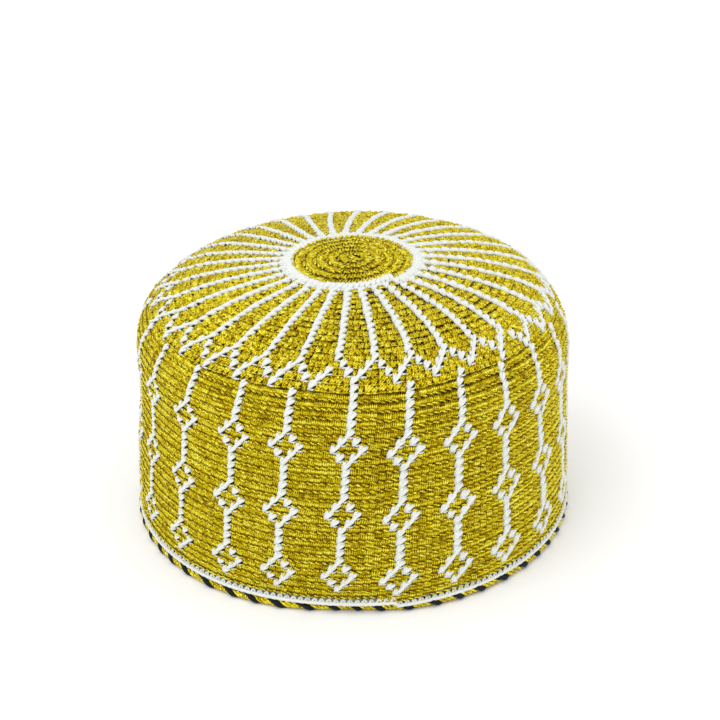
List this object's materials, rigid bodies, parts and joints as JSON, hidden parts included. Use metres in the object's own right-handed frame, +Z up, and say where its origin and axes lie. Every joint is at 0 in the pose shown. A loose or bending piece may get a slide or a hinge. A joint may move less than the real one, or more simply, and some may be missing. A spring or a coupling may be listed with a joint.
{
  "type": "crocheted topi cap",
  "caption": "Round crocheted skullcap with a rayed, low domed crown, an upright patterned side and a corded rim, open below for the head.",
  "frame": {"origin": "centre of the cap's footprint, on the surface that its rim stands on", "axes": "+Z up through the middle of the crown, -Y towards the front of the cap as pictured, +X to the right from the front"},
  "size_m": [0.1848, 0.1852, 0.1115],
  "materials": {
    "gold_yarn": "metallic gold lurex yarn, twisted, softly glinting",
    "white_yarn": "matte white cotton yarn",
    "edging_yarns": "gold lurex yarn twisted with a dark blue-green thread"
  },
  "bodies": {
    "root": {"crown_medallion": "gold_yarn", "medallion_white_round": "white_yarn", "crown_top": "gold_yarn", "side_wall": "gold_yarn", "hem_white_round": "white_yarn", "edging_cord": "edging_yarns"}
  },
  "joints": []
}
